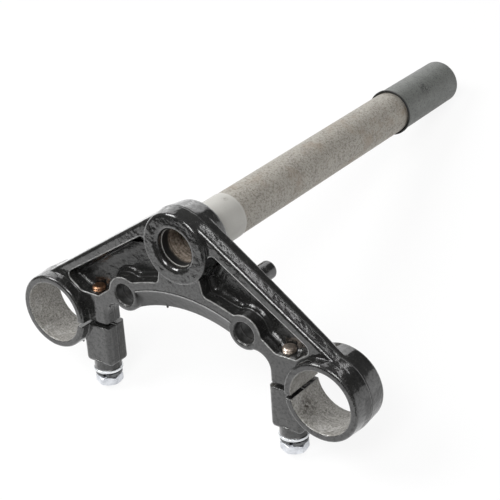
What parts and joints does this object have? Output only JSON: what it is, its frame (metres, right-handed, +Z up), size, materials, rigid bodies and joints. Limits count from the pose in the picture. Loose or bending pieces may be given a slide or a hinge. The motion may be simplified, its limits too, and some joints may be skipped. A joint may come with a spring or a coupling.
{
  "type": "motorcycle lower triple clamp",
  "caption": "Cast fork bracket with a hollow steering stem, split fork clamps closed by pinch bolts, hollowed arms, an arched front and steering stop pegs.",
  "frame": {"origin": "on the axis of the steering stem, at the foot of the bearing seat, 1 mm above the flat top of the boss", "axes": "+Z is up with the clamp lying on its bolt heads and its cap; +X runs across the bracket from the left to the right fork clamp; +Y runs along the bench towards the stem's capped end"},
  "size_m": [0.2212, 0.2847, 0.1188],
  "materials": {
    "black_paint": "gloss",
    "bare_steel": "turned",
    "cap_plastic": "satin",
    "zinc_plate": "zinc plated"
  },
  "bodies": {
    "root": {"bracket_casting": "black_paint", "steering_stem": "bare_steel", "thread_cap": "cap_plastic", "pinch_bolts": "zinc_plate", "lock_washers": "zinc_plate", "flat_washers": "zinc_plate"}
  },
  "joints": []
}
